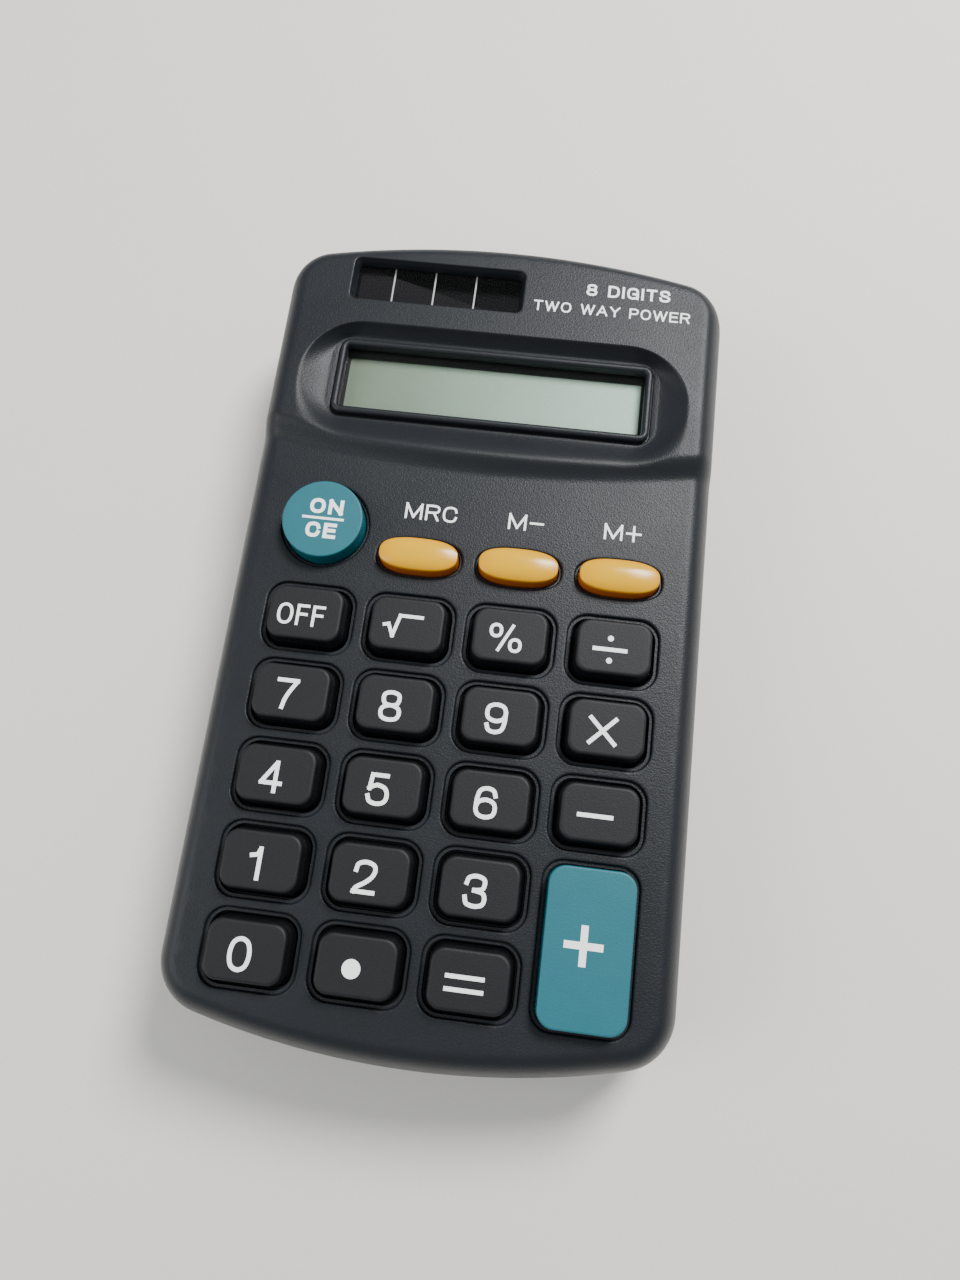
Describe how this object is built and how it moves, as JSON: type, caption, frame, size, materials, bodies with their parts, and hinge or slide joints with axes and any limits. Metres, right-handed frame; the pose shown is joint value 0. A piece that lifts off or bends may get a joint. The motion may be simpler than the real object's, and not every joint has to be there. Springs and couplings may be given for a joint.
{
  "type": "pocket calculator",
  "caption": "Flat pocket calculator with a raised, dished display end, a solar strip, a grid of spring-back keys and a battery door in its back.",
  "frame": {"origin": "middle of the flat back, on the plane it rests on", "axes": "+Z out of the key face, +Y towards the display end, +X to the reader's right"},
  "size_m": [0.0658, 0.115, 0.0218],
  "materials": {
    "casing": "fine spark-eroded grain on dark grey ABS",
    "black_key": "fine satin texture",
    "teal_key": "satin, moulded-in colour",
    "yellow_key": "polished, moulded-in colour",
    "window": "clear acrylic, polished",
    "polariser": "grey-green film",
    "cell_glass": "clear float glass",
    "reflector": "grey-green reflective film",
    "carrier": "moulded, unpolished",
    "rubber": "soft silicone",
    "solar_window": "clear acrylic over dark cells",
    "solar_cell": "amorphous silicon on glass, dark brown",
    "board": "solder-masked laminate",
    "epoxy": "poured black epoxy",
    "capacitor_sleeve": "shrink sleeve",
    "resistor_body": "lacquered",
    "battery_can": "printed sleeve over a drawn can",
    "plated_steel": "nickel plated",
    "wire_red": "PVC insulation",
    "legend_white": "screen-printed ink",
    "wire_black": "PVC insulation"
  },
  "bodies": {
    "casing": {"front_case": "casing", "rear_case": "casing", "display_window": "window", "lcd_front_polariser": "polariser", "lcd_front_glass": "cell_glass", "lcd_rear_glass": "cell_glass", "lcd_reflector": "reflector", "lcd_carrier": "carrier", "zebra_strip": "rubber", "solar_window": "solar_window", "solar_panel": "solar_cell", "key_membrane": "rubber", "circuit_board": "board", "chip_blob": "epoxy", "capacitor": "capacitor_sleeve", "resistor_1": "resistor_body", "resistor_2": "resistor_body", "diode": "epoxy", "battery": "battery_can", "battery_spring": "plated_steel", "battery_plate": "plated_steel", "battery_wire_red": "wire_red", "battery_wire_black": "wire_black", "solar_wire_red": "wire_red", "solar_wire_black": "wire_black", "case_screw_1": "plated_steel", "board_screw_1": "plated_steel", "case_screw_2": "plated_steel", "board_screw_2": "plated_steel", "case_screw_3": "plated_steel", "board_screw_3": "plated_steel", "case_screw_4": "plated_steel", "board_screw_4": "plated_steel"},
    "door": {"battery_door": "casing"},
    "key_on_clear_cap": {"key_on_clear": "teal_key"},
    "key_memory_recall_cap": {"key_memory_recall": "yellow_key"},
    "key_memory_minus_cap": {"key_memory_minus": "yellow_key"},
    "key_memory_plus_cap": {"key_memory_plus": "yellow_key"},
    "key_off_cap": {"key_off": "black_key"},
    "key_root_cap": {"key_root": "black_key"},
    "key_percent_cap": {"key_percent": "black_key"},
    "key_divide_cap": {"key_divide": "black_key"},
    "key_7_cap": {"key_7": "black_key"},
    "key_8_cap": {"key_8": "black_key"},
    "key_9_cap": {"key_9": "black_key"},
    "key_multiply_cap": {"key_multiply": "black_key"},
    "key_4_cap": {"key_4": "black_key"},
    "key_5_cap": {"key_5": "black_key"},
    "key_6_cap": {"key_6": "black_key"},
    "key_minus_cap": {"key_minus": "black_key"},
    "key_1_cap": {"key_1": "black_key"},
    "key_2_cap": {"key_2": "black_key"},
    "key_3_cap": {"key_3": "black_key"},
    "key_0_cap": {"key_0": "black_key"},
    "key_point_cap": {"key_point": "black_key"},
    "key_equals_cap": {"key_equals": "black_key"},
    "key_plus_cap": {"key_plus": "teal_key"}
  },
  "joints": [
    {"name": "key_on_clear_press", "type": "slide", "parent": "casing", "child": "key_on_clear_cap", "axis": [0, 0, -1], "range_m": [0, 0.0012], "stiffness_N_per_m": 600, "deforming": ["key_membrane"]},
    {"name": "key_memory_recall_press", "type": "slide", "parent": "casing", "child": "key_memory_recall_cap", "axis": [0, 0, -1], "range_m": [0, 0.0012], "stiffness_N_per_m": 600, "deforming": ["key_membrane"]},
    {"name": "key_memory_minus_press", "type": "slide", "parent": "casing", "child": "key_memory_minus_cap", "axis": [0, 0, -1], "range_m": [0, 0.0012], "stiffness_N_per_m": 600, "deforming": ["key_membrane"]},
    {"name": "key_memory_plus_press", "type": "slide", "parent": "casing", "child": "key_memory_plus_cap", "axis": [0, 0, -1], "range_m": [0, 0.0012], "stiffness_N_per_m": 600, "deforming": ["key_membrane"]},
    {"name": "key_off_press", "type": "slide", "parent": "casing", "child": "key_off_cap", "axis": [0, 0, -1], "range_m": [0, 0.0012], "stiffness_N_per_m": 600, "deforming": ["key_membrane"]},
    {"name": "key_root_press", "type": "slide", "parent": "casing", "child": "key_root_cap", "axis": [0, 0, -1], "range_m": [0, 0.0012], "stiffness_N_per_m": 600, "deforming": ["key_membrane"]},
    {"name": "key_percent_press", "type": "slide", "parent": "casing", "child": "key_percent_cap", "axis": [0, 0, -1], "range_m": [0, 0.0012], "stiffness_N_per_m": 600, "deforming": ["key_membrane"]},
    {"name": "key_divide_press", "type": "slide", "parent": "casing", "child": "key_divide_cap", "axis": [0, 0, -1], "range_m": [0, 0.0012], "stiffness_N_per_m": 600, "deforming": ["key_membrane"]},
    {"name": "key_7_press", "type": "slide", "parent": "casing", "child": "key_7_cap", "axis": [0, 0, -1], "range_m": [0, 0.0012], "stiffness_N_per_m": 600, "deforming": ["key_membrane"]},
    {"name": "key_8_press", "type": "slide", "parent": "casing", "child": "key_8_cap", "axis": [0, 0, -1], "range_m": [0, 0.0012], "stiffness_N_per_m": 600, "deforming": ["key_membrane"]},
    {"name": "key_9_press", "type": "slide", "parent": "casing", "child": "key_9_cap", "axis": [0, 0, -1], "range_m": [0, 0.0012], "stiffness_N_per_m": 600, "deforming": ["key_membrane"]},
    {"name": "key_multiply_press", "type": "slide", "parent": "casing", "child": "key_multiply_cap", "axis": [0, 0, -1], "range_m": [0, 0.0012], "stiffness_N_per_m": 600, "deforming": ["key_membrane"]},
    {"name": "key_4_press", "type": "slide", "parent": "casing", "child": "key_4_cap", "axis": [0, 0, -1], "range_m": [0, 0.0012], "stiffness_N_per_m": 600, "deforming": ["key_membrane"]},
    {"name": "key_5_press", "type": "slide", "parent": "casing", "child": "key_5_cap", "axis": [0, 0, -1], "range_m": [0, 0.0012], "stiffness_N_per_m": 600, "deforming": ["key_membrane"]},
    {"name": "key_6_press", "type": "slide", "parent": "casing", "child": "key_6_cap", "axis": [0, 0, -1], "range_m": [0, 0.0012], "stiffness_N_per_m": 600, "deforming": ["key_membrane"]},
    {"name": "key_minus_press", "type": "slide", "parent": "casing", "child": "key_minus_cap", "axis": [0, 0, -1], "range_m": [0, 0.0012], "stiffness_N_per_m": 600, "deforming": ["key_membrane"]},
    {"name": "key_1_press", "type": "slide", "parent": "casing", "child": "key_1_cap", "axis": [0, 0, -1], "range_m": [0, 0.0012], "stiffness_N_per_m": 600, "deforming": ["key_membrane"]},
    {"name": "key_2_press", "type": "slide", "parent": "casing", "child": "key_2_cap", "axis": [0, 0, -1], "range_m": [0, 0.0012], "stiffness_N_per_m": 600, "deforming": ["key_membrane"]},
    {"name": "key_3_press", "type": "slide", "parent": "casing", "child": "key_3_cap", "axis": [0, 0, -1], "range_m": [0, 0.0012], "stiffness_N_per_m": 600, "deforming": ["key_membrane"]},
    {"name": "key_0_press", "type": "slide", "parent": "casing", "child": "key_0_cap", "axis": [0, 0, -1], "range_m": [0, 0.0012], "stiffness_N_per_m": 600, "deforming": ["key_membrane"]},
    {"name": "key_point_press", "type": "slide", "parent": "casing", "child": "key_point_cap", "axis": [0, 0, -1], "range_m": [0, 0.0012], "stiffness_N_per_m": 600, "deforming": ["key_membrane"]},
    {"name": "key_equals_press", "type": "slide", "parent": "casing", "child": "key_equals_cap", "axis": [0, 0, -1], "range_m": [0, 0.0012], "stiffness_N_per_m": 600, "deforming": ["key_membrane"]},
    {"name": "key_plus_press", "type": "slide", "parent": "casing", "child": "key_plus_cap", "axis": [0, 0, -1], "range_m": [0, 0.0012], "stiffness_N_per_m": 600, "deforming": ["key_membrane"]},
    {"name": "door_swing", "type": "hinge", "parent": "casing", "child": "door", "pos_m": [0, 0.0375, 0], "axis": [-1, 0, 0], "range_deg": [0, 80]}
  ]
}
